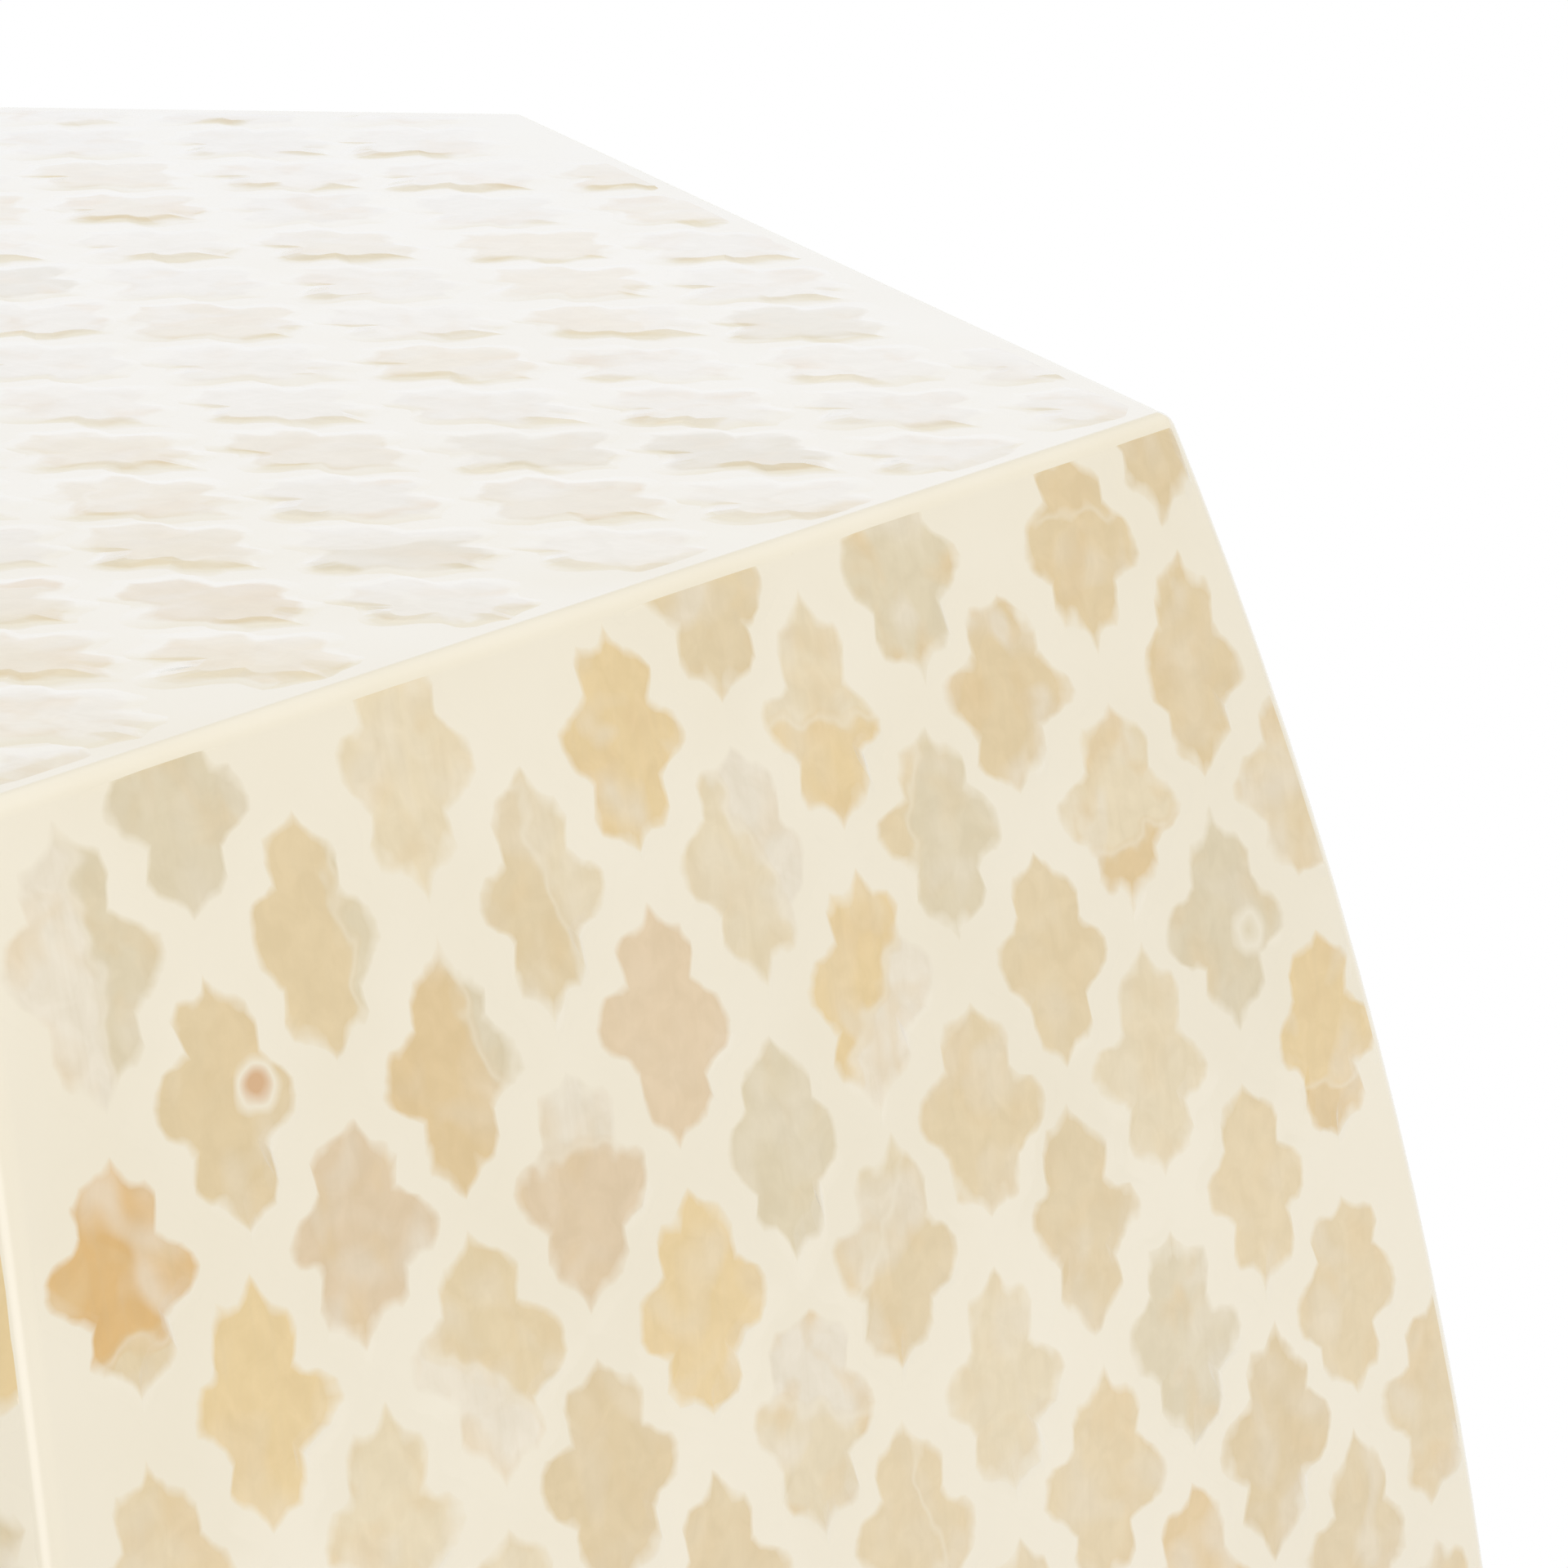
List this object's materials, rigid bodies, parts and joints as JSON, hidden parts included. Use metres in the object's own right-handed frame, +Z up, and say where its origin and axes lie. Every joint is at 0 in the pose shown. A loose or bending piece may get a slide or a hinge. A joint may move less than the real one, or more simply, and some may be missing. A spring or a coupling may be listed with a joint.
{
  "type": "side table",
  "caption": "Hexagonal barrel side table with bowed sides, covered in bone quatrefoil tiles set flush in cream resin over a plywood carcass.",
  "frame": {"origin": "on the floor under the middle of the table", "axes": "+Z up, +X through an arris and so across the corners, +Y across the flat sides"},
  "size_m": [0.547, 0.474, 0.5],
  "materials": {
    "resin": "cast cream resin, sanded flush and polished",
    "bone": "hand-cut bone, sanded flush and polished",
    "plywood": "raw plywood, sanded",
    "rail_wood": "raw sawn hardwood",
    "glide_nylon": "moulded nylon",
    "steel": "zinc plated"
  },
  "bodies": {
    "root": {"top_board": "plywood", "base_board": "plywood", "side_panel_1": "plywood", "side_panel_2": "plywood", "side_panel_3": "plywood", "side_panel_4": "plywood", "side_panel_5": "plywood", "side_panel_6": "plywood", "top_rail_1": "rail_wood", "top_rail_2": "rail_wood", "top_rail_3": "rail_wood", "top_rail_4": "rail_wood", "top_rail_5": "rail_wood", "top_rail_6": "rail_wood", "belly_rail_1": "rail_wood", "belly_rail_2": "rail_wood", "belly_rail_3": "rail_wood", "belly_rail_4": "rail_wood", "belly_rail_5": "rail_wood", "belly_rail_6": "rail_wood", "base_rail_1": "rail_wood", "base_rail_2": "rail_wood", "base_rail_3": "rail_wood", "base_rail_4": "rail_wood", "base_rail_5": "rail_wood", "base_rail_6": "rail_wood", "side_resin_1": "resin", "side_resin_2": "resin", "side_resin_3": "resin", "side_resin_4": "resin", "side_resin_5": "resin", "side_resin_6": "resin", "side_bone_tiles_1": "bone", "side_bone_tiles_2": "bone", "side_bone_tiles_3": "bone", "side_bone_tiles_4": "bone", "side_bone_tiles_5": "bone", "side_bone_tiles_6": "bone", "top_resin": "resin", "top_bone_tiles": "bone", "glide_1": "glide_nylon", "glide_2": "glide_nylon", "glide_3": "glide_nylon", "glide_4": "glide_nylon", "glide_5": "glide_nylon", "glide_6": "glide_nylon", "glide_nails": "steel", "top_screws": "steel", "base_screws": "steel"}
  },
  "joints": []
}
